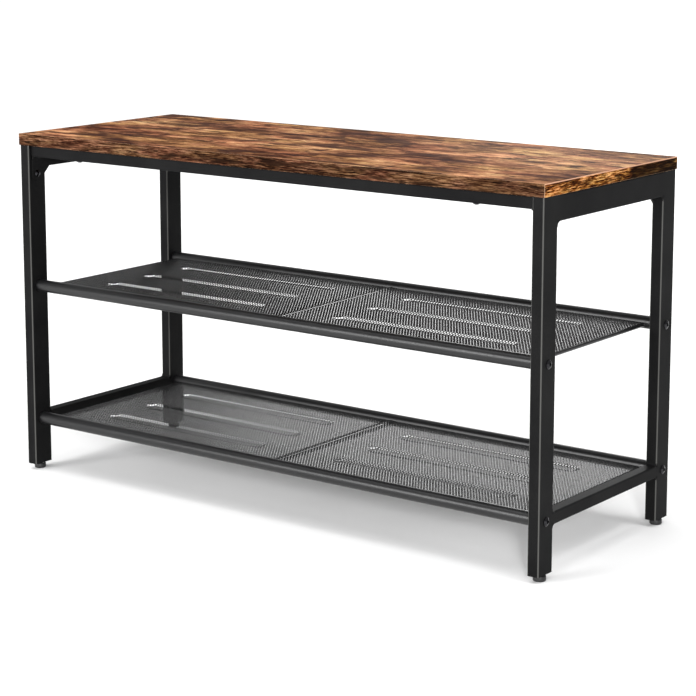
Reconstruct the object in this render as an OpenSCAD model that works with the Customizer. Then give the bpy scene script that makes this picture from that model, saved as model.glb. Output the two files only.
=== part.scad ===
// Entryway bench with two wire-mesh shoe shelves.
// Origin: centre of the footprint on the floor. +X along the length, +Y to the back, +Z up.

/* [Overall size] */
// Length of the seat board
bench_w = 800; // [600:10:1200]
// Depth of the seat board, front to back
bench_d = 300; // [240:5:420]
// Height of the seat above the floor
bench_h = 450; // [380:5:560]

/* [Seat board] */
// Thickness of the seat board
board_t = 15; // [14:0.5:30]
// Thickness of the edge bands
band_t = 0.8; // [0.4:0.1:2]
// How far the board reaches past the frame on every side
overhang = 1; // [0:0.5:20]
// Distance of the seat screws from the ends of the board
seat_screw_inset = 96; // [50:1:180]
// Outer diameter of the threaded inserts in the board
insert_d = 8.5; // [7.5:0.1:10]
// Length of the threaded inserts
insert_len = 10; // [6:0.5:11]

/* [Side frames] */
// Width of the leg tube along the bench
leg_w = 15; // [14:0.5:25]
// Depth of the leg tube, front to back
leg_d = 30; // [25:1:40]
// Height of the top rail of a side frame
top_rail_h = 30; // [20:1:50]
// Height of the lower rail of a side frame
lower_rail_h = 15; // [12:1:30]
// Wall of the rectangular tubes
tube_wall = 1.2; // [0.8:0.1:2]
// Outside corner radius of the rectangular tubes
tube_corner_r = 2; // [1.5:0.1:3]
// Radius of the weld fillets under the top rail
fillet_r = 5; // [2:0.5:12]

/* [Aprons] */
// Height and depth of the apron tube
apron_size = 15; // [12:0.5:25]
// Distance of the apron's outer face behind the leg's outer face
apron_setback = 5; // [0:0.5:12]
// Thickness of the end brackets
bracket_t = 2; // [1:0.1:4]
// Depth of the end brackets at the top
bracket_w = 38; // [30:1:50]
// Depth of the end brackets at the bottom
bracket_foot_w = 14; // [12:0.5:24]
// Height of the end brackets
bracket_h = 46; // [32:1:70]
// Distance of the bracket bolt from the bracket's outer and bottom edges
bracket_bolt_edge = 8.5; // [6:0.5:12]

/* [Shelves] */
// Height of the lower shelf tubes' axis
lower_shelf_z = 69.5; // [55:0.5:110]
// Height of the upper shelf tubes' axis
upper_shelf_z = 248.5; // [200:0.5:300]
// Outer diameter of the shelf tubes
shelf_tube_d = 16; // [12:0.5:20]
// Wall of the shelf tubes
shelf_tube_wall = 1; // [0.8:0.1:1.5]
// Diameter of the cross rods under the mesh
rod_d = 5; // [3:0.5:6.5]
// Distance of the end rods' axis from the legs
end_rod_gap = 13; // [6:0.5:40]
// Thickness of the mesh sheet
mesh_t = 0.6; // [0.4:0.1:1.5]
// Width of the channels pressed into the mesh
channel_w = 22; // [12:1:30]
// Depth of the channels
channel_depth = 2.2; // [1:0.1:4]
// Distance between the channels, front to back
channel_pitch = 71; // [50:1:90]
// Distance from a channel's end to the middle of the bench
channel_inner_gap = 56; // [20:1:90]
// Distance from a channel's end to the end rod's axis
channel_outer_gap = 53; // [20:1:90]

/* [Fasteners] */
// Thread diameter of the shelf bolts and the levelling feet
bolt_d = 6; // [5:0.5:8]
// Head diameter of the shelf bolts
bolt_head_d = 11; // [9:0.5:14]
// Head height of the shelf bolts
bolt_head_h = 2.6; // [2:0.1:4]
// Width across the flats of the shelf bolts' hex socket
bolt_socket_af = 4; // [3:0.5:5]
// Length of the nuts pressed into the shelf tubes
tube_nut_len = 15; // [12:1:25]
// How far a shelf bolt reaches into its nut
bolt_engagement = 12; // [8:0.5:12]
// Thread diameter of the seat screws and bracket bolts
screw_d = 5; // [4:0.5:6]
// Head diameter of the seat screws and bracket bolts
screw_head_d = 9; // [8:0.5:11]
// Head height of the seat screws and bracket bolts
screw_head_h = 2.6; // [2:0.1:4]

/* [Levelling feet] */
// Height of the legs' lower ends above the floor with the feet screwed in
foot_gap = 8; // [8:0.5:16]
// Diameter of the foot pads
pad_d = 15; // [14:0.5:25]
// Radius of the pads' lower edge
pad_edge_r = 1.5; // [0.5:0.1:2.5]
// Height of the plastic plugs in the legs
plug_h = 15; // [12:1:30]
// Travel of the feet
foot_travel = 8; // [4:1:10]

/* [Hidden] */
$fn = 48;

LEFT = -1;
RIGHT = 1;
FRONT = -1;
REAR = 1;

// Clearances
press_gap = 0.05;    // between a pressed-in piece and its hole
thread_gap = 0.1;    // between a screw thread and its nut, kept as plain cylinders
bolt_hole_gap = 0.25; // between a bolt's shank and its clearance hole
moving_gap = 0.3;    // between pieces that move on each other
past = 1;            // how far a cutting shape runs past what it cuts

// Places of the frame
frame_top = bench_h - board_t;
leg_x_out = bench_w / 2 - overhang;
leg_x_in = leg_x_out - leg_w;
leg_x = leg_x_out - leg_w / 2;
leg_y_out = bench_d / 2 - overhang;
leg_y_in = leg_y_out - leg_d;
leg_y = leg_y_out - leg_d / 2;
rail_length = 2 * leg_y_in;

// Places of the aprons and brackets
apron_y_out = leg_y_out - apron_setback;
apron_y = apron_y_out - apron_size / 2;
apron_bottom = frame_top - apron_size;
apron_length = 2 * (leg_x_in - bracket_t);
apron_corner_r = 1.6;
bracket_corner_r = 3;
bracket_bottom = frame_top - bracket_h;
bracket_bolt_y = apron_y_out - bracket_bolt_edge;
bracket_bolt_z = bracket_bottom + bracket_bolt_edge;
bracket_bolt_reach = 8;
bracket_nut_d = 9;
bracket_nut_h = 4;

// Places of the seat screws
seat_screw_x = bench_w / 2 - seat_screw_inset;
insert_floor_gap = 0.5;

// Places of the shelves
tube_length = 2 * leg_x_in;
shelf_tube_bore = shelf_tube_d - 2 * shelf_tube_wall;
rod_x = leg_x_in - end_rod_gap;
mesh_half_w = rod_x + rod_d / 2;
mesh_half_d = leg_y - shelf_tube_d / 2;
channel_start = channel_inner_gap;
channel_end = rod_x - channel_outer_gap;

// Levelling feet, measured up from the floor at rest
pad_roof = 1;                                 // plastic over the stud's foot disc
collar_t = 1.2;
collar_af = 10;
disc_d = 9;
disc_t = 1.5;
collar_top = foot_gap - moving_gap;
collar_bottom = collar_top - collar_t;
pad_top = collar_bottom - moving_gap;
disc_top = pad_top - pad_roof - moving_gap;
disc_bottom = disc_top - disc_t;
foot_nut_h = 5;
foot_nut_af = 10;
stud_top = foot_gap + plug_h + foot_travel;
plug_gap = 0.1;                               // between the plug and the tube's inside

// Flat outlines

module rounded_rectangle(w, h, r) {
    square([w - 2 * r, h], center = true);
    square([w, h - 2 * r], center = true);
    for (sx = [-1, 1], sy = [-1, 1])
        translate([sx * (w / 2 - r), sy * (h / 2 - r)]) circle(r);
}

module tube_outline(w, h, r) {
    inner_r = max(r - tube_wall, 0.3);
    difference() {
        rounded_rectangle(w, h, r);
        rounded_rectangle(w - 2 * tube_wall, h - 2 * tube_wall, inner_r);
    }
}

module slot_outline(length, w) {
    square([length - w, w], center = true);
    for (s = [-1, 1]) translate([s * (length - w) / 2, 0]) circle(d = w);
}

// Turned and drilled shapes

// A cylinder along X that starts at x and runs for length
module rod_along_x(x, length, d) {
    translate([x, 0, 0]) rotate([0, 90, 0]) cylinder(d = d, h = length);
}

module hexagon(af, h) {
    cylinder(d = af / cos(30), h = h, $fn = 6);
}

// Places the children at one leg, with +X pointing out of the bench's end
module at_leg(side, end) {
    mirror([side == LEFT ? 1 : 0, 0, 0]) mirror([0, end == FRONT ? 1 : 0, 0]) children();
}

module at_all_legs() {
    for (side = [LEFT, RIGHT], end = [FRONT, REAR]) at_leg(side, end) children();
}

// Seat board: particle board with bored holes for the inserts

module seat_board() {
    core_w = bench_w - 2 * band_t;
    core_d = bench_d - 2 * band_t;
    color("#8a5e3c") difference() {
        translate([-core_w / 2, -core_d / 2, frame_top]) cube([core_w, core_d, board_t]);
        at_all_legs() translate([seat_screw_x, apron_y, frame_top - past])
            cylinder(d = insert_d + 2 * press_gap, h = insert_len + insert_floor_gap + past);
    }
}

module long_edge_band(end) {
    y = end == FRONT ? -bench_d / 2 : bench_d / 2 - band_t;
    color("#5f4632") translate([-bench_w / 2, y, frame_top]) cube([bench_w, band_t, board_t]);
}

module short_edge_band(side) {
    x = side == LEFT ? -bench_w / 2 : bench_w / 2 - band_t;
    length = bench_d - 2 * band_t;
    color("#6b4a30") translate([x, -length / 2, frame_top]) cube([band_t, length, board_t]);
}

module seat_inserts() {
    color("#b9b6a8") at_all_legs() translate([seat_screw_x, apron_y, frame_top]) difference() {
        cylinder(d = insert_d, h = insert_len);
        translate([0, 0, -past]) cylinder(d = screw_d + 2 * thread_gap, h = insert_len + 2 * past);
    }
}

// Domed head on z = 0 with its shank going down
module domed_screw(d, head_d, head_h, reach) {
    rim = head_h * 0.3;
    dome = head_h - rim;
    dome_r = (head_d * head_d / 4 + dome * dome) / (2 * dome);
    cylinder(d = head_d, h = rim);
    intersection() {
        translate([0, 0, head_h - dome_r]) sphere(dome_r, $fn = 96);
        translate([0, 0, rim]) cylinder(d = head_d, h = dome);
    }
    translate([0, 0, -reach]) cylinder(d = d, h = reach);
}

// Cross recess in a head whose top is at z = head_h
module cross_recess(head_h) {
    arm = 4.2;
    w = 0.9;
    depth = 1.3;
    for (turn = [0, 90]) rotate([0, 0, turn])
        translate([-arm / 2, -w / 2, head_h - depth]) cube([arm, w, depth + past]);
}

module seat_screws() {
    reach = apron_size + insert_len - 1;
    color("#26262a") at_all_legs() translate([seat_screw_x, apron_y, apron_bottom])
        rotate([180, 0, 0]) difference() {
            domed_screw(screw_d, screw_head_d, screw_head_h, reach);
            cross_recess(screw_head_h);
        }
}

// Side frames

// Clearance hole through a leg for a shelf bolt
module leg_bolt_hole(z) {
    translate([0, leg_y, z])
        rod_along_x(leg_x_in - past, leg_w + 2 * past, bolt_d + 2 * bolt_hole_gap);
}

module leg(side, end) {
    color("#2b2b2d") at_leg(side, end) difference() {
        translate([leg_x, leg_y, foot_gap]) linear_extrude(frame_top - foot_gap)
            tube_outline(leg_w, leg_d, tube_corner_r);
        leg_bolt_hole(lower_shelf_z);
        leg_bolt_hole(upper_shelf_z);
        translate([0, bracket_bolt_y, bracket_bolt_z])
            rod_along_x(leg_x_in - past, tube_wall + 2 * past, screw_d + 2 * bolt_hole_gap);
    }
}

// Tube of a side frame along Y, centred on its length
module frame_tube(h, length) {
    rotate([90, 0, 0]) translate([0, 0, -length / 2]) linear_extrude(length)
        tube_outline(leg_w, h, tube_corner_r);
}

// Weld fillet in the corner between a leg and the top rail
module weld_fillet() {
    w = leg_w - 2 * tube_corner_r;
    translate([-w / 2, 0, 0]) rotate([90, 0, 90]) linear_extrude(w) difference() {
        translate([-fillet_r, -fillet_r]) square(fillet_r);
        translate([-fillet_r, -fillet_r]) circle(fillet_r);
    }
}

module top_rail(side) {
    color("#2b2b2d") translate([side * leg_x, 0, 0]) {
        translate([0, 0, frame_top - top_rail_h / 2]) frame_tube(top_rail_h, rail_length);
        for (end = [FRONT, REAR]) mirror([0, end == FRONT ? 1 : 0, 0])
            translate([0, leg_y_in, frame_top - top_rail_h]) weld_fillet();
    }
}

module lower_rail(side) {
    color("#2b2b2d") translate([side * leg_x, 0, lower_shelf_z])
        frame_tube(lower_rail_h, rail_length);
}

// Levelling feet: plug and nut in the leg, stud through them, pad on the stud

module plug(side, end) {
    w = leg_w - 2 * (tube_wall + plug_gap);
    d = leg_d - 2 * (tube_wall + plug_gap);
    color("#1b1b1d") at_leg(side, end) translate([leg_x, leg_y, foot_gap]) difference() {
        linear_extrude(plug_h) rounded_rectangle(w, d, 0.6);
        translate([0, 0, -past]) cylinder(d = bolt_d + 2 * moving_gap, h = plug_h + 2 * past);
        translate([0, 0, plug_h - foot_nut_h])
            hexagon(foot_nut_af + 2 * press_gap, foot_nut_h + past);
    }
}

module foot_nuts() {
    color("#b9b6a8") at_all_legs()
        translate([leg_x, leg_y, foot_gap + plug_h - foot_nut_h]) difference() {
            hexagon(foot_nut_af, foot_nut_h);
            translate([0, 0, -past]) cylinder(d = bolt_d + 2 * thread_gap, h = foot_nut_h + 2 * past);
        }
}

module stud(side, end) {
    color("#b9b6a8") at_leg(side, end) translate([leg_x, leg_y, 0]) {
        translate([0, 0, disc_bottom]) cylinder(d = disc_d, h = disc_t);
        translate([0, 0, disc_bottom]) cylinder(d = bolt_d, h = stud_top - disc_bottom);
        translate([0, 0, collar_bottom]) hexagon(collar_af, collar_t);
    }
}

module pad(side, end) {
    r = pad_d / 2;
    rim = 0.5;
    edge = [for (a = [0 : 15 : 90])
        [r - pad_edge_r + pad_edge_r * sin(a), pad_edge_r - pad_edge_r * cos(a)]];
    top = [[r, pad_top - rim], [r - rim, pad_top], [0, pad_top]];
    color("#1b1b1d") at_leg(side, end) translate([leg_x, leg_y, 0]) difference() {
        rotate_extrude() polygon(concat([[0, 0]], edge, top));
        translate([0, 0, disc_bottom - moving_gap])
            cylinder(d = disc_d + 2 * moving_gap, h = disc_t + 2 * moving_gap);
        translate([0, 0, disc_bottom]) cylinder(d = bolt_d + 2 * moving_gap, h = pad_top);
    }
}

// Aprons and their end brackets

module apron(end) {
    color("#2b2b2d") difference() {
        translate([-apron_length / 2, end * apron_y, frame_top - apron_size / 2])
            rotate([90, 0, 90]) linear_extrude(apron_length)
                tube_outline(apron_size, apron_size, apron_corner_r);
        for (side = [LEFT, RIGHT])
            translate([side * seat_screw_x, end * apron_y, apron_bottom - past])
                cylinder(d = screw_d + 2 * bolt_hole_gap, h = apron_size + 2 * past);
    }
}

// Outline of a bracket in depth and height, both measured from its outer bottom corner
module bracket_outline() {
    slope = bracket_w - bracket_foot_w;
    polygon([[0, bracket_corner_r], [bracket_corner_r, 0], [bracket_foot_w, 0],
        [bracket_w, slope], [bracket_w, bracket_h], [0, bracket_h]]);
    translate([bracket_corner_r, bracket_corner_r]) circle(bracket_corner_r);
}

module bracket(side, end) {
    color("#2b2b2d") at_leg(side, end) difference() {
        translate([leg_x_in - bracket_t, apron_y_out, bracket_bottom])
            mirror([0, 1, 0]) rotate([90, 0, 90]) linear_extrude(bracket_t) bracket_outline();
        translate([0, bracket_bolt_y, bracket_bolt_z])
            rod_along_x(leg_x_in - bracket_t - past, bracket_t + 2 * past, screw_d + 2 * bolt_hole_gap);
    }
}

module bracket_bolts() {
    color("#26262a") at_all_legs()
        translate([leg_x_in - bracket_t, bracket_bolt_y, bracket_bolt_z]) rotate([0, -90, 0])
            difference() {
                domed_screw(screw_d, screw_head_d, screw_head_h, bracket_bolt_reach);
                cross_recess(screw_head_h);
            }
}

module bracket_nuts() {
    color("#b9b6a8") at_all_legs() translate([0, bracket_bolt_y, bracket_bolt_z]) difference() {
        rod_along_x(leg_x_in + tube_wall, bracket_nut_h, bracket_nut_d);
        rod_along_x(leg_x_in, leg_w, screw_d + 2 * thread_gap);
    }
}

// Shelves: two tubes, three rods and a pressed mesh, held by bolts through the legs

module shelf_tube(z, end) {
    color("#303032") translate([0, end * leg_y, z]) difference() {
        rod_along_x(-tube_length / 2, tube_length, shelf_tube_d);
        rod_along_x(-tube_length / 2 - past, tube_length + 2 * past, shelf_tube_bore);
    }
}

// Cross rod with its ends coped to the round of the tubes
module shelf_rod(z, x) {
    color("#303032") difference() {
        translate([x, leg_y, z - rod_d / 2]) rotate([90, 0, 0]) cylinder(d = rod_d, h = 2 * leg_y);
        for (end = [FRONT, REAR]) translate([0, end * leg_y, z])
            rod_along_x(x - rod_d, 2 * rod_d, shelf_tube_d);
    }
}

// Pressed channels of one half of the mesh, as prisms of a given width from z0 to z1
module channels(w, z0, z1) {
    length = channel_end - channel_start - (channel_w - w);
    for (side = [LEFT, RIGHT], row = [-1, 0, 1])
        translate([side * (channel_start + channel_end) / 2, row * channel_pitch, z0])
            linear_extrude(z1 - z0) slot_outline(length, w);
}

module shelf_mesh(z) {
    inner_w = channel_w - 2 * mesh_t;
    color("#3a3a3c") translate([0, 0, z]) difference() {
        union() {
            translate([-mesh_half_w, -mesh_half_d, 0])
                cube([2 * mesh_half_w, 2 * mesh_half_d, mesh_t]);
            channels(channel_w, -channel_depth, 0);
        }
        channels(inner_w, mesh_t - channel_depth, mesh_t + past);
    }
}

module tube_nuts(z) {
    color("#b9b6a8") at_all_legs() translate([0, leg_y, z]) difference() {
        rod_along_x(leg_x_in - tube_nut_len, tube_nut_len, shelf_tube_bore - 2 * press_gap);
        rod_along_x(leg_x_in - tube_nut_len - past, tube_nut_len + 2 * past, bolt_d + 2 * thread_gap);
    }
}

module shelf_bolts(z) {
    reach = leg_w + bolt_engagement;
    socket_depth = 1.6;
    color("#26262a") at_all_legs() translate([leg_x_out, leg_y, z]) rotate([0, 90, 0])
        difference() {
            domed_screw(bolt_d, bolt_head_d, bolt_head_h, reach);
            translate([0, 0, bolt_head_h - socket_depth]) hexagon(bolt_socket_af, socket_depth + past);
        }
}

seat_board();
long_edge_band(FRONT);  // front_edge_band
long_edge_band(REAR);  // rear_edge_band
short_edge_band(LEFT);  // left_edge_band
short_edge_band(RIGHT);  // right_edge_band
seat_inserts();
seat_screws();

leg(LEFT, FRONT);  // front_left_leg
leg(LEFT, REAR);  // rear_left_leg
leg(RIGHT, FRONT);  // front_right_leg
leg(RIGHT, REAR);  // rear_right_leg
top_rail(LEFT);  // left_top_rail
top_rail(RIGHT);  // right_top_rail
lower_rail(LEFT);  // left_lower_rail
lower_rail(RIGHT);  // right_lower_rail

plug(LEFT, FRONT);  // front_left_plug
plug(LEFT, REAR);  // rear_left_plug
plug(RIGHT, FRONT);  // front_right_plug
plug(RIGHT, REAR);  // rear_right_plug
foot_nuts();
stud(LEFT, FRONT);  // front_left_stud
stud(LEFT, REAR);  // rear_left_stud
stud(RIGHT, FRONT);  // front_right_stud
stud(RIGHT, REAR);  // rear_right_stud
pad(LEFT, FRONT);  // front_left_pad
pad(LEFT, REAR);  // rear_left_pad
pad(RIGHT, FRONT);  // front_right_pad
pad(RIGHT, REAR);  // rear_right_pad

apron(FRONT);  // front_apron
apron(REAR);  // rear_apron
bracket(LEFT, FRONT);  // front_left_bracket
bracket(LEFT, REAR);  // rear_left_bracket
bracket(RIGHT, FRONT);  // front_right_bracket
bracket(RIGHT, REAR);  // rear_right_bracket
bracket_bolts();
bracket_nuts();

shelf_tube(upper_shelf_z, FRONT);  // upper_front_tube
shelf_tube(upper_shelf_z, REAR);  // upper_rear_tube
shelf_rod(upper_shelf_z, -rod_x);  // upper_left_rod
shelf_rod(upper_shelf_z, 0);  // upper_centre_rod
shelf_rod(upper_shelf_z, rod_x);  // upper_right_rod
shelf_mesh(upper_shelf_z);  // upper_mesh
tube_nuts(upper_shelf_z);  // upper_tube_nuts
shelf_bolts(upper_shelf_z);  // upper_shelf_bolts

shelf_tube(lower_shelf_z, FRONT);  // lower_front_tube
shelf_tube(lower_shelf_z, REAR);  // lower_rear_tube
shelf_rod(lower_shelf_z, -rod_x);  // lower_left_rod
shelf_rod(lower_shelf_z, 0);  // lower_centre_rod
shelf_rod(lower_shelf_z, rod_x);  // lower_right_rod
shelf_mesh(lower_shelf_z);  // lower_mesh
tube_nuts(lower_shelf_z);  // lower_tube_nuts
shelf_bolts(lower_shelf_z);  // lower_shelf_bolts
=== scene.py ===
import math

import bmesh
import bpy
import numpy as np
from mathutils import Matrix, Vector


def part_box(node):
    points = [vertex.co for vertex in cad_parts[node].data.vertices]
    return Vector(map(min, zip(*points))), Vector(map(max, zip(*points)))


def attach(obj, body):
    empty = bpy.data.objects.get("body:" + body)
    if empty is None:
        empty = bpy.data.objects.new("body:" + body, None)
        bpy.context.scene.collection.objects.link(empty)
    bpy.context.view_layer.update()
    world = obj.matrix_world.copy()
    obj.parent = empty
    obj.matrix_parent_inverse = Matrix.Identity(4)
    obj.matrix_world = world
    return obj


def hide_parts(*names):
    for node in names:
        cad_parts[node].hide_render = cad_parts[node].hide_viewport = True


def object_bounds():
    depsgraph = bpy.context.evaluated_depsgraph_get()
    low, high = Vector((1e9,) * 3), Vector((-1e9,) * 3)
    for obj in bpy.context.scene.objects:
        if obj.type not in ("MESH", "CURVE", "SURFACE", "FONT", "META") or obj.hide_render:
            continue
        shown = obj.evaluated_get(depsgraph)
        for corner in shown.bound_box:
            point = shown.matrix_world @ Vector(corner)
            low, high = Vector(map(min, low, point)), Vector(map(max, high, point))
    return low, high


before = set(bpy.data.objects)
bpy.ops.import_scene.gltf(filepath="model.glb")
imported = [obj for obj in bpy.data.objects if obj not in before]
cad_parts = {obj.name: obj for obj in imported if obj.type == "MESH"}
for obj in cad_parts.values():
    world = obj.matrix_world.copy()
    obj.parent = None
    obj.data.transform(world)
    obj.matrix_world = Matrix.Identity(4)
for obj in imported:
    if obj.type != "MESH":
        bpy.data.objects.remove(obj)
cad_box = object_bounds()


# Camera: a long lens from the bench's front right, a little above the seat, shifted
# down so that the feet are in the picture as well as the seat.
CAMERA_PLACE = (1.5751, -2.0671, 0.7615)
CAMERA_AZIMUTH = 36.90
CAMERA_ELEVATION = 9.54

camera_data = bpy.data.cameras.new("camera")
camera_data.sensor_width = 36
camera_data.lens = 108.7
camera_data.shift_y = -0.15
camera = bpy.data.objects.new("camera", camera_data)
camera.location = CAMERA_PLACE
camera.rotation_euler = (math.radians(90 - CAMERA_ELEVATION), 0, math.radians(CAMERA_AZIMUTH))
bpy.context.scene.collection.objects.link(camera)
bpy.context.scene.camera = camera


# Side frames: two welded frames of 30 x 15 mm steel tube, shot-blasted, then coated with
# fine-textured black epoxy-polyester powder and baked.
TOP_RAIL_HEIGHT = 0.030
TUBE_CORNER = 0.002
TOP_FILLET = 0.005
LOW_FILLET = 0.0025


def colour(hex_code):
    """Linear RGBA of an sRGB hex code: each channel is ((c + 0.055) / 1.055) ** 2.4 above 0.04045."""
    code = hex_code.lstrip("#")
    srgb = [int(code[i:i + 2], 16) / 255 for i in (0, 2, 4)]
    linear = [c / 12.92 if c <= 0.04045 else ((c + 0.055) / 1.055) ** 2.4 for c in srgb]
    return (*linear, 1.0)


def add(tree, kind, inputs=None, stops=None, **settings):
    """Adds one shader node with its settings, its input values or links, and a ramp's stops."""
    made = tree.nodes.new("ShaderNode" + kind)
    for name, value in settings.items():
        setattr(made, name, value)
    for socket, value in (inputs or {}).items():
        if isinstance(value, bpy.types.NodeSocket):
            tree.links.new(value, made.inputs[socket])
        else:
            made.inputs[socket].default_value = value
    if stops:
        elements = made.color_ramp.elements
        while len(elements) < len(stops):
            elements.new(0.5)
        for element, (place, shade) in zip(elements, stops):
            element.position = place
            element.color = shade if len(shade) == 4 else (*shade, 1.0)
    return made


def new_material(name, **values):
    """A Principled material and its tree, with the given values on the shader's own sockets."""
    material = bpy.data.materials.new(name)
    material.use_nodes = True
    tree = material.node_tree
    shader = tree.nodes["Principled BSDF"]
    for socket, value in values.items():
        shader.inputs[socket.replace("_", " ")].default_value = value
    return material, tree, shader


def powder_coat(name, dark, light, shine, roughness, grain_mm=0.9, bump=0.25, corner_tone=None):
    """Fine-textured powder coat: an even black film whose tiny orange-peel grains, really about
    0.2 mm, are drawn grain_mm wide so that they show, with a faint change of tone over 60 mm.
    corner_tone is painted on the tubes' round upright corners, greyer and smoother, where the
    product of the normal's X and Y is large. It stands in for a highlight, and isn't real wear."""
    material, tree, shader = new_material(name, IOR=1.5, Specular_IOR_Level=shine)
    place = add(tree, "TexCoord").outputs["Object"]
    grain = add(tree, "TexNoise", {"Vector": place, "Scale": 1000 / grain_mm, "Detail": 2.0})
    tone = add(tree, "TexNoise", {"Vector": place, "Scale": 1000 / 60, "Detail": 3.0})
    mix = add(tree, "Math", {0: grain.outputs["Fac"], 1: tone.outputs["Fac"]}, operation="MULTIPLY")
    shade = add(tree, "ValToRGB", {"Fac": mix.outputs[0]},
                stops=[(0.12, colour(dark)), (0.42, colour(light))])
    rough = add(tree, "MapRange", {"Value": grain.outputs["Fac"], "From Min": 0.3, "From Max": 0.7,
                                   "To Min": roughness[0], "To Max": roughness[1]})
    relief = add(tree, "Bump", {"Height": grain.outputs["Fac"], "Strength": bump, "Distance": 0.0001})
    ink, sheen = shade.outputs["Color"], rough.outputs["Result"]
    if corner_tone:
        facing = add(tree, "SeparateXYZ", {"Vector": add(tree, "TexCoord").outputs["Normal"]})
        lean = add(tree, "Math", {0: facing.outputs["X"], 1: facing.outputs["Y"]}, operation="MULTIPLY")
        lean = add(tree, "Math", {0: lean.outputs[0]}, operation="ABSOLUTE")
        corner = add(tree, "MapRange", {"Value": lean.outputs[0], "From Min": 0.2, "From Max": 0.46})
        ink = add(tree, "Mix", {"Factor": corner.outputs["Result"], "A": ink, "B": colour(corner_tone)},
                  data_type="RGBA").outputs[2]
        sheen = add(tree, "Mix", {"Factor": corner.outputs["Result"], "A": sheen, "B": 0.24},
                    data_type="FLOAT").outputs[0]
    tree.links.new(ink, shader.inputs["Base Color"])
    tree.links.new(sheen, shader.inputs["Roughness"])
    tree.links.new(relief.outputs["Normal"], shader.inputs["Normal"])
    return material


def finish_nodes(names, material):
    """Gives CAD nodes their real finish."""
    for name in names:
        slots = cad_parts[name].material_slots
        for slot in slots:
            slot.material = material


def closed_mesh(name, points, faces, material, body, smooth=False):
    """A mesh object from arrays of points and faces, riding on a body."""
    mesh = bpy.data.meshes.new(name)
    mesh.from_pydata(points.tolist(), [], faces)
    mesh.materials.append(material)
    mesh.polygons.foreach_set("use_smooth", np.full(len(mesh.polygons), smooth))
    mesh.update()
    piece = bpy.data.objects.new(name, mesh)
    bpy.context.scene.collection.objects.link(piece)
    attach(piece, body)
    return piece


def ring_surface(name, stacks, materials, body, sharp_angle=35):
    """Closed surfaces through stacks of rings of points, with a flat cap on each stack's first and
    last ring, in one mesh. Edges sharper than sharp_angle degrees stay crisp."""
    points, faces, base = [], [], 0
    for rings in stacks:
        count, around = rings.shape[:2]
        index = base + np.arange(count * around).reshape(count, around)
        ahead = np.roll(index, -1, axis=1)
        sides = np.stack([index[:-1], ahead[:-1], ahead[1:], index[1:]], -1).reshape(-1, 4)
        faces += sides.tolist() + [index[0, ::-1].tolist(), index[-1].tolist()]
        points.append(rings.reshape(-1, 3))
        base += count * around
    piece = closed_mesh(name, np.concatenate(points), faces, materials[0], body, True)
    for material in materials[1:]:
        piece.data.materials.append(material)
    shell = bmesh.new()
    shell.from_mesh(piece.data)
    bmesh.ops.recalc_face_normals(shell, faces=shell.faces)
    shell.to_mesh(piece.data)
    shell.free()
    piece.data.set_sharp_from_angle(angle=math.radians(sharp_angle))
    return piece


def weld_fillet(corner, first, second, run, radius, backing):
    """Rings of a weld fillet that runs from a corner point along run. Its section is a concave
    quarter circle between two faces, which leave the corner along first and second, and it
    reaches backing deep behind them to fill the tubes' round edges; both ends are rounded off."""
    turn = np.linspace(0, math.pi / 2, 9)
    # The share of the run at each ring, and how far the weld sinks in there, in metres
    place = np.array([0, 0.012, 0.04, 0.96, 0.988, 1])
    inset = np.array([0.0006, 0.00018, 0, 0, 0.00018, 0.0006])[:, None]
    arc_first = radius - (radius + inset) * np.sin(turn)
    arc_second = radius - (radius + inset) * np.cos(turn)
    spare = np.ones((len(place), 1))
    across = np.hstack([arc_first, -backing * spare, -backing * spare, (radius + backing) * spare])
    down = np.hstack([arc_second, (radius + backing) * spare, -backing * spare, -backing * spare])
    corner, first, second, run = (np.array(v, float) for v in (corner, first, second, run))
    return corner + place[:, None, None] * run + across[..., None] * first + down[..., None] * second


def groove_fill(x, y, outward, towards_leg, low_z, high_z, corner):
    """Rings of the ground-flush weld that fills the groove between a leg's round edge and the flat
    end of a rail: a right-angled sliver as deep and as wide as the edge's radius."""
    bulge = (1 - math.sqrt(0.5)) * corner
    section = np.array([(0, 0), (0, corner), (-bulge, bulge), (-corner, 0)])
    flat = np.stack([x + outward * section[:, 0], y + towards_leg * section[:, 1]], -1)
    heights = np.array([low_z, high_z])
    return np.concatenate([np.broadcast_to(flat, (2, 4, 2)), np.repeat(heights, 4).reshape(2, 4, 1)], -1)


LEGS = ("front_left", "rear_left", "front_right", "rear_right")
tube_coat = powder_coat("textured_black_powder_coat", "#0b0b0c", "#191919", 0.06, (0.5, 0.62),
                         corner_tone="#525250")
finish_nodes([leg + "_leg" for leg in LEGS], tube_coat)
finish_nodes(["left_top_rail", "right_top_rail", "left_lower_rail", "right_lower_rail"], tube_coat)

frame_fillets = []
for leg in LEGS:
    low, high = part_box(leg + "_leg")
    end = 1 if leg.startswith("rear") else -1
    inner_y = low.y if end > 0 else high.y
    width = (high.x - low.x, 0, 0)
    top_rail_z = high.z - TOP_RAIL_HEIGHT
    low_rail_low, low_rail_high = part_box(("left" if leg.endswith("left") else "right") + "_lower_rail")
    frame_fillets.append(weld_fillet((low.x, inner_y, top_rail_z), (0, -end, 0), (0, 0, -1), width,
                                     TOP_FILLET, TUBE_CORNER))
    for z, way in ((low_rail_low.z, -1), (low_rail_high.z, 1)):
        frame_fillets.append(weld_fillet((low.x, inner_y, z), (0, -end, 0), (0, 0, way), width,
                                         LOW_FILLET, TUBE_CORNER))
    for x, outward in ((low.x, -1), (high.x, 1)):
        for span in ((top_rail_z, high.z), (low_rail_low.z, low_rail_high.z)):
            frame_fillets.append(groove_fill(x, inner_y, outward, end, *span, TUBE_CORNER))
frame_welds = ring_surface("frame_welds", frame_fillets, [tube_coat], "frame")


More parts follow.
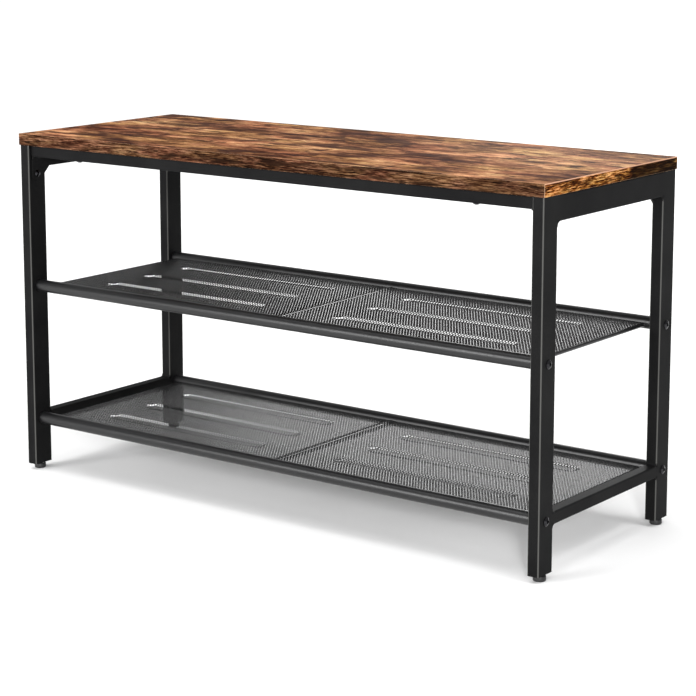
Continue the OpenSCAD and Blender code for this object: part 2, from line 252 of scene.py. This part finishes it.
# Aprons and their end brackets: 15 mm square tube with laser-cut 2 mm plates welded to its
# ends, coated with the side frames; the front one stands 5 mm behind the legs' faces.
APRON_FILLET = 0.0035
APRON_CORNER = 0.0016
finish_nodes(["front_apron", "rear_apron"], tube_coat)
finish_nodes([leg + "_bracket" for leg in LEGS], tube_coat)

apron_fillets = []
for word in ("front", "rear"):
    low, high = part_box(word + "_apron")
    for x, way in ((low.x, 1), (high.x, -1)):
        apron_fillets.append(weld_fillet((x, low.y, low.z), (way, 0, 0), (0, 0, -1),
                                         (0, high.y - low.y, 0), APRON_FILLET, APRON_CORNER))
apron_welds = ring_surface("apron_welds", apron_fillets, [tube_coat], "frame")


# Levelling feet: a moulded nylon pad clipped on a zinc-plated M6 stud, which screws through
# a nut held in a nylon plug in the leg's lower end.
PAD_WIDTH = 0.015
PAD_EDGE = 0.0015
PAD_TOP = 0.0062
MOUTH_RADIUS = 0.0033
POCKET_RADIUS = 0.0048
POCKET_BOTTOM = 0.0031
POCKET_TOP = 0.0052
DISC_RADIUS = 0.0045
DISC_BOTTOM = 0.0034
DISC_TOP = 0.0049
DISC_CHAMFER = 0.0003
NECK_RADIUS = 0.0029
COLLAR_FLATS = 0.010
COLLAR_BOTTOM = 0.0065
COLLAR_TOP = 0.0077
COLLAR_CHAMFER = 0.0003
CORNER_REACH = 0.00045
THREAD_RADIUS = 0.003
THREAD_DEPTH = 0.00061
THREAD_PITCH = 0.001
RINGS_A_TURN = 8


def moulded_nylon(name):
    """Glass-filled nylon from a spark-eroded mould: dull black with a fine leathery grain."""
    material, tree, shader = new_material(name, Base_Color=colour("#141415"), IOR=1.53)
    place = add(tree, "TexCoord").outputs["Object"]
    grain = add(tree, "TexNoise", {"Vector": place, "Scale": 1000 / 0.6, "Detail": 3.0})
    rough = add(tree, "MapRange", {"Value": grain.outputs["Fac"], "To Min": 0.42, "To Max": 0.62})
    relief = add(tree, "Bump", {"Height": grain.outputs["Fac"], "Strength": 0.2, "Distance": 0.0001})
    tree.links.new(rough.outputs["Result"], shader.inputs["Roughness"])
    tree.links.new(relief.outputs["Normal"], shader.inputs["Normal"])
    return material


def zinc_plate(name):
    """Bright zinc on turned steel: silvery with a faint yellow-blue drift and fine turning marks."""
    material, tree, shader = new_material(name, Metallic=1.0)
    place = add(tree, "TexCoord").outputs["Object"]
    drift = add(tree, "TexNoise", {"Vector": place, "Scale": 1000 / 8, "Detail": 2.0})
    shade = add(tree, "ValToRGB", {"Fac": drift.outputs["Fac"]},
                stops=[(0.35, colour("#b9bab8")), (0.65, colour("#d2cfc4"))])
    rough = add(tree, "MapRange", {"Value": drift.outputs["Fac"], "To Min": 0.22, "To Max": 0.4})
    tree.links.new(shade.outputs["Color"], shader.inputs["Base Color"])
    tree.links.new(rough.outputs["Result"], shader.inputs["Roughness"])
    return material


def turned(centre, profile, around=60):
    """Rings of a turned shape about a vertical axis: profile is rows of radius and height."""
    angle = np.arange(around) * 2 * math.pi / around
    radius, height = np.array(profile, float).T
    x = centre[0] + radius[:, None] * np.cos(angle)
    y = centre[1] + radius[:, None] * np.sin(angle)
    return np.stack([x, y, np.broadcast_to(height[:, None], x.shape)], -1)


def foot_pad(centre):
    """Rings of a pad: a hollow underside inside a contact ring, a round lower edge, a chamfered
    rim, and the pocket that snaps over the stud's disc."""
    turn = np.linspace(0, math.pi / 2, 9)
    radius = PAD_WIDTH / 2
    edge = np.stack([radius - PAD_EDGE + PAD_EDGE * np.sin(turn), PAD_EDGE - PAD_EDGE * np.cos(turn)], 1)
    # The underside's hollow is 0.7 mm deep, and the rim's and the mouth's chamfers are under 0.6 mm
    underside = [(0.0035, 0.0007), (0.0040, 0.0006), (0.0044, 0.0)]
    rim = [(radius, PAD_TOP - 0.0006), (radius - 0.0002, PAD_TOP - 0.00015), (radius - 0.0006, PAD_TOP)]
    mouth = [(MOUTH_RADIUS + 0.0003, PAD_TOP), (MOUTH_RADIUS, PAD_TOP - 0.0003), (MOUTH_RADIUS, POCKET_TOP)]
    pocket = mouth + [(POCKET_RADIUS, POCKET_TOP), (POCKET_RADIUS, POCKET_BOTTOM)]
    return turned(centre, np.concatenate([underside, edge, rim, pocket]))


def threaded_stud(centre, top):
    """Rings of a stud from its foot disc up: disc, neck, chamfered hex collar and M6 thread. The
    thread's radius falls from crest to root with the distance from a helix that rises one pitch
    a turn, anticlockwise seen from above, and is cut back at its start and its chamfered end."""
    around = 60
    angle = np.arange(around) * 2 * math.pi / around
    half_flats = COLLAR_FLATS / 2
    hexagon = half_flats / np.cos(angle % (math.pi / 3) - math.pi / 6)
    disc = [(DISC_RADIUS - DISC_CHAMFER, DISC_BOTTOM), (DISC_RADIUS, DISC_BOTTOM + DISC_CHAMFER),
            (DISC_RADIUS, DISC_TOP - DISC_CHAMFER), (DISC_RADIUS - DISC_CHAMFER, DISC_TOP)]
    neck = [(NECK_RADIUS, DISC_TOP), (NECK_RADIUS, COLLAR_BOTTOM)]
    rings = [turned((0, 0), disc + neck, around)]
    # The hexagon's corners are turned down to its flats at both ends of the collar
    collar = [(0, COLLAR_BOTTOM), (CORNER_REACH, COLLAR_BOTTOM + COLLAR_CHAMFER),
              (CORNER_REACH, COLLAR_TOP - COLLAR_CHAMFER), (0, COLLAR_TOP)]
    for reach_out, z in collar:
        radius = np.minimum(hexagon, half_flats + reach_out)
        rings.append(np.stack([radius * np.cos(angle), radius * np.sin(angle), np.full(around, z)], -1)[None])
    start = COLLAR_TOP + 0.0002
    z = np.linspace(start, top, round((top - start) / THREAD_PITCH * RINGS_A_TURN) + 1)[:, None]
    rise = z / THREAD_PITCH - angle / (2 * math.pi)
    radius = THREAD_RADIUS - THREAD_DEPTH * np.abs(2 * (rise - np.floor(rise)) - 1)
    root = THREAD_RADIUS - THREAD_DEPTH
    radius = np.minimum(radius, root + np.minimum((z - start) * 0.5, (top - z) + 0.0001))
    rings.append(np.stack([radius * np.cos(angle), radius * np.sin(angle), z + 0 * angle], -1))
    return np.concatenate(rings) + np.array([*centre, 0])


nylon = moulded_nylon("black_moulded_nylon")
zinc = zinc_plate("bright_zinc_plate")
finish_nodes([leg + "_plug" for leg in LEGS], nylon)
finish_nodes(["foot_nuts", "seat_inserts", "bracket_nuts"], zinc)
for leg in LEGS:
    low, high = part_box(leg + "_stud")
    centre = ((low.x + high.x) / 2, (low.y + high.y) / 2)
    pad = ring_surface(leg + "_foot_pad", [foot_pad(centre)], [nylon], leg + "_pad")
    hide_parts(leg + "_pad")
    stud = ring_surface(leg + "_threaded_stud", [threaded_stud(centre, high.z)], [zinc], leg + "_stud")
    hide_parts(leg + "_stud")


# Shelf tubes and rods: 16 mm round tube and 5 mm drawn wire, spot-welded into a tray and
# coated together, so the film is smoother and glossier than the side frames'.
tray_coat = powder_coat("satin_black_powder_coat", "#0d0d0e", "#181819", 0.4, (0.28, 0.4), bump=0.12)
SHELVES = ("upper", "lower")
RODS = ("left", "centre", "right")
ROD_BEAD = 0.0013


def rod_weld(rod_x, rod_z, rod_radius, tube_y, tube_z, tube_radius, way):
    """Rings of the bead round a rod's end: a concave collar whose foot follows the tube's round
    side, so each point lies its own distance from the tube's surface at its own height."""
    around = 32
    angle = np.arange(around) * 2 * math.pi / around
    turn = np.linspace(0, math.pi / 2, 6)
    spread = np.concatenate([[-0.0003], ROD_BEAD * (1 - np.cos(turn)), [ROD_BEAD]])
    lift = np.concatenate([[ROD_BEAD + 0.0002], ROD_BEAD * (1 - np.sin(turn)), [-0.0006]])
    radius = rod_radius + spread[:, None]
    x = rod_x + radius * np.cos(angle)
    z = rod_z + radius * np.sin(angle)
    side = np.sqrt(tube_radius ** 2 - np.clip(z - tube_z, -0.98 * tube_radius, 0.98 * tube_radius) ** 2)
    y = tube_y - way * (side + lift[:, None])
    return np.stack([x, y, z], -1)


for shelf in SHELVES:
    finish_nodes([shelf + "_front_tube", shelf + "_rear_tube"], tray_coat)
    finish_nodes([shelf + "_" + place + "_rod" for place in RODS], tray_coat)
    finish_nodes([shelf + "_tube_nuts"], zinc)
    beads = []
    for tube, way in (("front", -1), ("rear", 1)):
        tube_low, tube_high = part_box(shelf + "_" + tube + "_tube")
        tube_axis = (tube_low + tube_high) / 2
        for rod in RODS:
            low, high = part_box(shelf + "_" + rod + "_rod")
            beads.append(rod_weld((low.x + high.x) / 2, (low.z + high.z) / 2, (high.x - low.x) / 2,
                                  tube_axis.y, tube_axis.z, (tube_high.z - tube_low.z) / 2, way))
    rod_welds = ring_surface(shelf + "_rod_welds", beads, [tray_coat], "frame")


# Shelf mesh: steel sheet slit and stretched into diamonds, rolled flat, then pressed with
# six long stiffening channels and welded on the rods. It is drawn as two halves that meet
# over the middle rod, where the sheet rises in a low ridge.
SHORT_DIAGONAL = 0.0041
LONG_DIAGONAL = 0.006
STRAND = 0.00102
SHEET = 0.0008
STRAND_SLOPE = 0.00018
CHANNEL_WIDTH = 0.022
CHANNEL_DEPTH = 0.0022
CHANNEL_WALL = 0.0022
CHANNEL_PITCH = 0.071
CHANNEL_INNER_GAP = 0.056
CHANNEL_OUTER_GAP = 0.053
SEAM_RISE = 0.0012
SEAM_WIDTH = 0.004


def channel_drop(x, y, end_rod_x):
    """Depth of the pressed channels at x, y: full inside a stadium round each channel's middle
    line, and a smooth step over the width of the channel's wall at its edge."""
    start = CHANNEL_INNER_GAP + CHANNEL_WIDTH / 2
    end = end_rod_x - CHANNEL_OUTER_GAP - CHANNEL_WIDTH / 2
    along = np.abs(x) - np.clip(np.abs(x), start, end)
    row = np.clip(np.round(y / CHANNEL_PITCH), -1, 1) * CHANNEL_PITCH
    inside = CHANNEL_WIDTH / 2 - np.hypot(along, y - row)
    step = np.clip(inside / CHANNEL_WALL, 0, 1)
    return CHANNEL_DEPTH * step * step * (3 - 2 * step)


def diamond_lattice(columns, rows):
    """Cells of a centred diamond lattice on columns x rows, as corner indices in half-diagonals:
    whole diamonds inside, and half diamonds that close the four straight edges."""
    i, j = np.meshgrid(np.arange(columns), np.arange(1, rows), indexing="ij")
    wide = np.stack([2 * i + 1, 2 * j], -1).reshape(-1, 2)
    i, j = np.meshgrid(np.arange(1, columns), np.arange(rows), indexing="ij")
    tall = np.stack([2 * i, 2 * j + 1], -1).reshape(-1, 2)
    centres = np.concatenate([wide, tall])
    ring = np.array([[1, 0], [0, 1], [-1, 0], [0, -1]])
    whole = centres[:, None] + ring
    near_half = np.array([[0, 0], [2, 0], [1, 1]])
    side_half = np.array([[0, 2], [0, 0], [1, 1]])
    along = 2 * np.arange(columns)[:, None, None] * np.array([1, 0])
    up = 2 * np.arange(rows)[:, None, None] * np.array([0, 1])
    low = near_half + along
    left = side_half + up
    far = np.array([2 * columns, 2 * rows])
    half = np.concatenate([low, far - low, left, far - left])
    return whole, half


def cell_faces(cells, size, base):
    """Three rings of faces for cells of k corners: the top and the bottom rim, from the cell's
    border to its opening, and the opening's wall. The opening's corners start at index base."""
    k = cells.shape[1]
    n = len(cells)
    top_in = base + np.arange(n * k).reshape(n, k)
    low_in = top_in + n * k
    top_out = cells
    nxt = np.roll(np.arange(k), -1)
    rim_top = np.stack([top_out, top_out[:, nxt], top_in[:, nxt], top_in], -1)
    rim_low = np.stack([top_out + size, low_in, low_in[:, nxt], top_out[:, nxt] + size], -1)
    wall = np.stack([top_in, top_in[:, nxt], low_in[:, nxt], low_in], -1)
    return np.concatenate([rim_top.reshape(-1, 4), rim_low.reshape(-1, 4), wall.reshape(-1, 4)])


def mesh_half(name, side, level, end_rod_x, half_width, half_depth, material):
    """One half of a shelf's expanded mesh. Each cell has its own opening, a smaller copy of the
    cell about its middle; the sheet's thickness and the channels' drop are added last."""
    columns = round(half_width / SHORT_DIAGONAL)
    rows = round(2 * half_depth / LONG_DIAGONAL)
    step = np.array([half_width / columns / 2, half_depth / rows])
    whole, half = diamond_lattice(columns, rows)
    edge = step[0] * step[1] / np.hypot(*step)
    open_share = 1 - STRAND / 2 / edge
    grid = (2 * columns + 1, 2 * rows + 1)

    def index(cells):
        return cells[..., 0] * grid[1] + cells[..., 1]

    used = np.unique(np.concatenate([index(whole).ravel(), index(half).ravel()]))
    order = np.zeros(grid[0] * grid[1], int)
    order[used] = np.arange(len(used))
    corners = np.stack([used // grid[1], used % grid[1]], 1) * step
    size = len(used)
    points = [np.c_[corners, np.full(size, SHEET)], np.c_[corners, np.zeros(size)]]
    faces = []
    base = 2 * size
    for cells in (whole, half):
        place = cells * step
        middle = place.mean(1, keepdims=True)
        opening = (middle + (place - middle) * open_share).reshape(-1, 2)
        faces.append(cell_faces(order[index(cells)], size, base))
        points.append(np.c_[opening, np.full(len(opening), SHEET - STRAND_SLOPE)])
        points.append(np.c_[opening, np.full(len(opening), STRAND_SLOPE)])
        base += 2 * len(opening)
    rim = order[index(half[:, :2])]
    faces.append(np.stack([rim[:, 1], rim[:, 0], rim[:, 0] + size, rim[:, 1] + size], -1))
    points = np.concatenate(points)
    points[:, 1] -= half_depth
    if side < 0:
        points[:, 0] *= -1
        faces = [f[:, ::-1] for f in faces]
    points[:, 2] += level - channel_drop(points[:, 0], points[:, 1], end_rod_x)
    points[:, 2] += SEAM_RISE * np.exp(-(points[:, 0] / SEAM_WIDTH) ** 2)
    return closed_mesh(name, points, np.concatenate(faces).tolist(), material, "frame")


mesh_coat = powder_coat("mesh_black_powder_coat", "#080809", "#101011", 0.65, (0.2, 0.3), bump=0.08)
for shelf in SHELVES:
    low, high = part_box(shelf + "_mesh")
    rod_low, rod_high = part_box(shelf + "_right_rod")
    end_rod_x = (rod_low.x + rod_high.x) / 2
    level = rod_high.z
    for side, word in ((-1, "left"), (1, "right")):
        piece = mesh_half(shelf + "_mesh_" + word, side, level, end_rod_x, high.x, high.y, mesh_coat)
        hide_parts(shelf + "_mesh")


# Screws: M6 button-head shelf bolts, and M5 pan-head seat screws and bracket bolts, in
# hardened steel with black zinc.
def black_zinc(name):
    """Black-passivated zinc on cold-headed steel: a dark, slightly glossy metal."""
    material, tree, shader = new_material(name, Metallic=1.0)
    place = add(tree, "TexCoord").outputs["Object"]
    drift = add(tree, "TexNoise", {"Vector": place, "Scale": 1000 / 3, "Detail": 3.0})
    shade = add(tree, "ValToRGB", {"Fac": drift.outputs["Fac"]},
                stops=[(0.3, colour("#2e2e30")), (0.7, colour("#414144"))])
    rough = add(tree, "MapRange", {"Value": drift.outputs["Fac"], "To Min": 0.16, "To Max": 0.26})
    tree.links.new(shade.outputs["Color"], shader.inputs["Base Color"])
    tree.links.new(rough.outputs["Result"], shader.inputs["Roughness"])
    return material


black_steel = black_zinc("black_zinc_screw_steel")
finish_nodes(["seat_screws", "bracket_bolts", "upper_shelf_bolts", "lower_shelf_bolts"], black_steel)


# Seat board: particle board faced with printed melamine paper, pressed on an embossed plate;
# the print is aged timber with tan streaks, brown blotches and dark short splits.
EDGE_EASE = 0.0003
INK_STOPS = (0.1, 0.3, 0.5, 0.7, 0.92)
RED_TINT = (1.06, 0.94, 0.95, 1.0)
NO_TINT = (1.0, 1.0, 1.0, 1.0)
YELLOW_TINT = (0.98, 1.02, 0.88, 1.0)
# Light tan of the painted highlight along the end bands' upper edge
EDGE_HIGHLIGHT_INK = "#dba586"


def aged_timber(name, sizes, inks, dark_inks, contrast, fineness, along="X", edge_highlight_top=None, knot=None):
    """Printed aged timber. sizes gives, for each pattern of the print, its length along the grain
    and its width in mm; inks run from the darkest brown to the lightest tan, and dark_inks are
    the blotches' and the splits'; fineness is the fine grain's share of the tone. edge_highlight_top
    is the height of the upper edge, under which a painted highlight runs as a light line, and knot
    the start and end of a dark stretch."""
    material, tree, shader = new_material(name, IOR=1.5, Specular_IOR_Level=0.006)
    place = add(tree, "TexCoord").outputs["Object"]

    def pattern(field, detail, distortion, shift, roughness=0.6):
        length_mm, width_mm = sizes[field]
        scale = (1000 / length_mm, 1000 / width_mm, 1000 / width_mm)
        if along == "Y":
            scale = (1000 / width_mm, 1000 / length_mm, 1000 / width_mm)
        mapped = add(tree, "Mapping", {"Vector": place, "Scale": scale, "Location": (shift, shift, shift)})
        return add(tree, "TexNoise", {"Vector": mapped.outputs["Vector"], "Scale": 1.0, "Detail": detail,
                                      "Distortion": distortion, "Roughness": roughness}).outputs["Fac"]

    def blend(share, first, second):
        return add(tree, "Mix", {"Factor": share, "A": first, "B": second}, data_type="FLOAT").outputs[0]

    def overprint(ink, mask, low, high, strength, hex_code):
        cover = add(tree, "MapRange", {"Value": mask, "From Min": low, "From Max": high, "To Max": strength})
        return add(tree, "Mix", {"Factor": cover.outputs["Result"], "A": ink, "B": colour(hex_code)},
                   data_type="RGBA").outputs[2]

    plank = pattern("plank", 3.0, 0.4, 1.7)
    streak = pattern("streak", 5.0, 0.25, 3.1, 0.7)
    grain = pattern("grain", 4.0, 0.15, 7.7, 0.75)
    tone = blend(fineness, blend(0.5, plank, streak), grain)
    reach = 0.5 / contrast
    tone = add(tree, "MapRange", {"Value": tone, "From Min": 0.5 - reach, "From Max": 0.5 + reach})
    ink = add(tree, "ValToRGB", {"Fac": tone.outputs["Result"]},
              stops=[(stop, colour(code)) for stop, code in zip(INK_STOPS, inks)]).outputs["Color"]
    tint = add(tree, "ValToRGB", {"Fac": pattern("tint", 2.0, 0.3, 5.3)},
               stops=[(0.4, RED_TINT), (0.5, NO_TINT), (0.6, YELLOW_TINT)])
    ink = add(tree, "Mix", {"Factor": 1.0, "A": ink, "B": tint.outputs["Color"]}, data_type="RGBA",
              blend_type="MULTIPLY").outputs[2]
    blotch = blend(0.3, pattern("blotch", 4.0, 0.4, 11.3), grain)
    ink = overprint(ink, blotch, 0.54, 0.575, 0.88, dark_inks[0])
    split = blend(0.3, pattern("split", 3.0, 0.15, 19.9), grain)
    ink = overprint(ink, split, 0.56, 0.59, 0.92, dark_inks[1])
    axes = add(tree, "SeparateXYZ", {"Vector": place})
    if knot:
        ragged = add(tree, "Math", {0: grain, 1: 0.06, 2: axes.outputs["Y"]},
                     operation="MULTIPLY_ADD").outputs[0]
        start = add(tree, "MapRange", {"Value": ragged, "From Min": knot[0], "From Max": knot[0] + 0.006})
        end = add(tree, "MapRange", {"Value": ragged, "From Min": knot[1], "From Max": knot[1] + 0.03,
                                     "To Min": 1.0, "To Max": 0.0})
        inside = add(tree, "Math", {0: start.outputs[0], 1: end.outputs[0]}, operation="MULTIPLY").outputs[0]
        ink = overprint(ink, blend(0.25, inside, grain), 0.45, 0.75, 0.9, dark_inks[1])
    # Painted highlight: a lighter line on the band's face just below its upper edge
    if edge_highlight_top:
        ink = overprint(ink, axes.outputs["Z"], edge_highlight_top - 0.0014, edge_highlight_top - 0.0008, 0.8, EDGE_HIGHLIGHT_INK)
    rough = add(tree, "MapRange", {"Value": streak, "To Min": 0.5, "To Max": 0.68})
    relief = add(tree, "Bump", {"Height": grain, "Strength": 0.35, "Distance": 0.0002})
    tree.links.new(ink, shader.inputs["Base Color"])
    tree.links.new(rough.outputs["Result"], shader.inputs["Roughness"])
    tree.links.new(relief.outputs["Normal"], shader.inputs["Normal"])
    return material


def plain_foil(name, hex_code):
    """Plain melamine foil with a faint paper mottle, as on a board's underside or a band's cut edge."""
    material, tree, shader = new_material(name, Roughness=0.6, Specular_IOR_Level=0.3)
    place = add(tree, "TexCoord").outputs["Object"]
    mottle = add(tree, "TexNoise", {"Vector": place, "Scale": 1000 / 2.0, "Detail": 3.0})
    red, green, blue, alpha = colour(hex_code)
    darker = (red * 0.75, green * 0.75, blue * 0.75, alpha)
    shade = add(tree, "ValToRGB", {"Fac": mottle.outputs["Fac"]},
                stops=[(0.35, darker), (0.65, colour(hex_code))])
    tree.links.new(shade.outputs["Color"], shader.inputs["Base Color"])
    return material


def eased_slab(low, high, corner, ease, arc_steps=3):
    """Rings of a slab with eased edges: the outline is a rounded rectangle, and it shrinks and
    rises round a quarter circle at the lower and the upper edge."""
    turn = np.linspace(0, math.pi / 2, arc_steps + 1)
    inset = np.concatenate([ease * (1 - np.sin(turn)), ease * (1 - np.cos(turn))])
    rise = np.concatenate([low[2] + ease * (1 - np.cos(turn)), high[2] - ease * (1 - np.sin(turn))])
    quarter = np.linspace(0, math.pi / 2, arc_steps + 1)
    angle = np.concatenate([quarter + k * math.pi / 2 for k in range(4)])
    sign_x = np.sign(np.cos(np.repeat([0.5, 1.5, 2.5, 3.5], arc_steps + 1) * math.pi / 2))
    sign_y = np.sign(np.sin(np.repeat([0.5, 1.5, 2.5, 3.5], arc_steps + 1) * math.pi / 2))
    middle = (np.array(low[:2]) + np.array(high[:2])) / 2
    half = (np.array(high[:2]) - np.array(low[:2])) / 2 - corner
    radius = (corner - inset)[:, None]
    x = middle[0] + sign_x * half[0] + radius * np.cos(angle)
    y = middle[1] + sign_y * half[1] + radius * np.sin(angle)
    return np.stack([x, y, np.broadcast_to(rise[:, None], x.shape)], -1)


# Length along the grain and width of each pattern, in mm
TOP_SIZES = {"plank": (150, 80), "streak": (64, 13), "grain": (20, 2.6),
             "blotch": (95, 40), "split": (46, 15), "tint": (120, 60)}
LONG_SIZES = {"plank": (170, 22), "streak": (38, 2.6), "grain": (15, 1.2),
              "blotch": (70, 9), "split": (22, 1.7), "tint": (60, 14)}
SHORT_SIZES = {"plank": (90, 20), "streak": (52, 2.8), "grain": (20, 1.5),
               "blotch": (50, 7), "split": (24, 1.7), "tint": (50, 12)}
TOP_INKS = ("#34190f", "#5a3a28", "#8a5c42", "#ae7e58", "#dcb082")
LONG_INKS = ("#0f0603", "#2e190f", "#4e3323", "#694936", "#8a684e")
SHORT_INKS = ("#100502", "#42200c", "#6e3f1c", "#a46a30", "#d8a468")
top_print = aged_timber("melamine_aged_timber", TOP_SIZES, TOP_INKS, ("#3c2620", "#2c1c1a"), 5.0, 0.34)
long_print = aged_timber("edge_band_aged_timber", LONG_SIZES, LONG_INKS, ("#1c100a", "#120a06"), 4.6, 0.6)
# The end bands' print carries a painted highlight along its upper edge
short_print = aged_timber("end_band_aged_timber", SHORT_SIZES, SHORT_INKS, ("#2a1408", "#100803"), 7.5, 0.58,
                          along="Y", edge_highlight_top=cad_box[1][2], knot=(0.066, 0.17))
backing = plain_foil("brown_balancing_foil", "#4a382c")
cut_edge = plain_foil("band_cut_edge", "#cfa883")
board = ring_surface("board", [eased_slab(*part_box("seat_board"), EDGE_EASE, EDGE_EASE / 2)],
                     [top_print, backing], "frame")
# The last face but one is the slab's lower cap, which has the plain backing foil
board.data.polygons[len(board.data.polygons) - 2].material_index = 1
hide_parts("seat_board")


# Edge bands: 0.8 mm printed plastic strip glued on with hot melt, the long ones last, so
# that their sawn ends show as a light line at the corners; the edges are scraped.
BAND_EASE = 0.00038

for word in ("front", "rear", "left", "right"):
    node_name = word + "_edge_band"
    low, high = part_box(node_name)
    own_print = long_print if word in ("front", "rear") else short_print
    band = ring_surface(word + "_band", [eased_slab(low, high, BAND_EASE, BAND_EASE)], [own_print, cut_edge],
                        "frame")
    normals = np.zeros(len(band.data.polygons) * 3)
    band.data.polygons.foreach_get("normal", normals)
    normals = np.abs(normals.reshape(-1, 3))
    across = 1 if word in ("front", "rear") else 0
    scraped = normals[:, across] < (0.6 if across else 0.85)
    band.data.polygons.foreach_set("material_index", scraped.astype(np.int32))
    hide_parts(node_name)


# Studio: a white floor and surround, two soft suns from above and from the right, a panel at
# the front left, one behind that the shelves' mesh reflects, and a small one near the camera
# for the tubes' corners. The floor is far wider than the picture, so it shows no edge.
FLOOR_SIZE = 80.0
reach = FLOOR_SIZE / 2
floor_mesh = bpy.data.meshes.new("floor")
floor_corners = [(-reach, -reach, 0), (reach, -reach, 0), (reach, reach, 0), (-reach, reach, 0)]
floor_mesh.from_pydata(floor_corners, [], [(0, 1, 2, 3)])
floor_paint = new_material("white_studio_floor", Base_Color=(0.9, 0.9, 0.9, 1), Roughness=0.95,
                           Specular_IOR_Level=0.0)[0]
floor_mesh.materials.append(floor_paint)
floor = bpy.data.objects.new("floor", floor_mesh)
bpy.context.scene.collection.objects.link(floor)

world = bpy.data.worlds.new("studio_surround")
world.use_nodes = True
surround = world.node_tree.nodes["Background"]
surround.inputs["Color"].default_value = (1, 1, 1, 1)
surround.inputs["Strength"].default_value = 0.42
bpy.context.scene.world = world


def lamp(name, kind, place, target, **settings):
    """A light at place that faces target, hidden from the camera itself."""
    data = bpy.data.lights.new(name, kind)
    for setting, value in settings.items():
        setattr(data, setting, value)
    made = bpy.data.objects.new(name, data)
    made.location = place
    away = np.array(place, float) - np.array(target, float)
    tilt = math.atan2(math.hypot(away[0], away[1]), away[2])
    made.rotation_euler = (tilt, 0, math.atan2(away[0], -away[1]))
    made.visible_camera = False
    bpy.context.scene.collection.objects.link(made)
    return made


SEAT_MIDDLE = (0, 0, 0.3)
lamp("overhead_light", "SUN", (-0.4, -0.5, 3), (0, 0, 0), energy=1.7, angle=math.radians(50))
lamp("right_light", "SUN", (1.6, 0.1, 2.4), (0, 0, 0), energy=0.9, angle=math.radians(24))
lamp("key_light", "AREA", (-1.4, -3.0, 1.0), SEAT_MIDDLE, shape="SQUARE", size=1.4, energy=75)
lamp("back_light", "AREA", (-1.2, 3.6, 1.2), SEAT_MIDDLE, shape="RECTANGLE", size=1.8, size_y=1.0, energy=30)
lamp("camera_light", "AREA", (3.4, -4.0, 1.7), SEAT_MIDDLE, shape="SQUARE", size=0.6, energy=180)

bpy.context.scene.view_settings.view_transform = "Standard"
